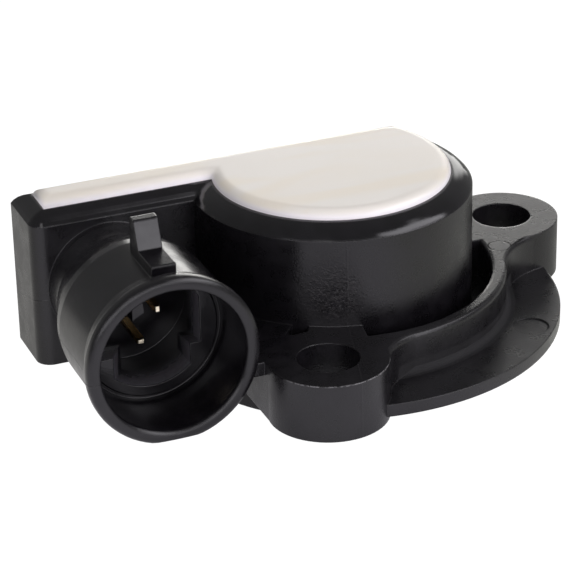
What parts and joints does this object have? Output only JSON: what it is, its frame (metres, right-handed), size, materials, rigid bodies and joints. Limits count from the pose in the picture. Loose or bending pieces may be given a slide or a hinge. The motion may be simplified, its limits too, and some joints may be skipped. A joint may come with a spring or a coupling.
{
  "type": "throttle position sensor",
  "caption": "Black moulded throttle position sensor with a round keyed connector socket, mounting ears, a cream potted top and a spring-returned rotor with a flatted drive socket.",
  "frame": {"origin": "on the rotor's axis, in the plane of the mounting ears' undersides", "axes": "+Z along the rotor's axis, from the drive side towards the potted top; -Y is the way the connector's mouth faces; -X points from the round body to the connector block"},
  "size_m": [0.0636, 0.0372, 0.0251],
  "materials": {
    "housing_plastic": "fine matt moulded grain",
    "ring_plastic": "smooth moulded",
    "cover_plastic": "matt moulded",
    "carrier_plastic": "matt moulded",
    "potting_resin": "smooth poured resin",
    "blade_brass": "stamped, satin",
    "ceramic": "fired ceramic",
    "bond": "soft adhesive film",
    "carbon_film": "printed carbon film",
    "silver_film": "printed metal film",
    "bronze": "sintered, oiled",
    "rotor_plastic": "moulded acetal",
    "contact_alloy": "polished contact strip",
    "spring_steel": "drawn wire and strip",
    "washer_plastic": "smooth",
    "seal_rubber": "soft matt"
  },
  "bodies": {
    "sensor_body": {"housing": "housing_plastic", "potting": "potting_resin", "keying_ring": "ring_plastic", "terminal_signal": "blade_brass", "terminal_supply": "blade_brass", "terminal_ground": "blade_brass", "terminal_carrier": "carrier_plastic", "element_plate": "ceramic", "element_bond": "bond", "resistor_track": "carbon_film", "collector_track": "silver_film", "contact_pads": "silver_film", "pivot_bush": "bronze", "return_spring": "spring_steel", "thrust_washer": "washer_plastic", "wave_washer": "spring_steel", "hub_seal": "seal_rubber", "base_cover": "cover_plastic"},
    "rotor_body": {"rotor": "rotor_plastic", "wiper_brush": "contact_alloy", "drive_clip": "spring_steel"}
  },
  "joints": [
    {"name": "rotor_turn", "type": "hinge", "parent": "sensor_body", "child": "rotor_body", "pos_m": [0, 0, 0], "axis": [0, 0, 1], "range_deg": [0, 90], "stiffness_Nm_per_rad": 0.003, "springref_deg": -57.3, "deforming": ["return_spring"]}
  ]
}
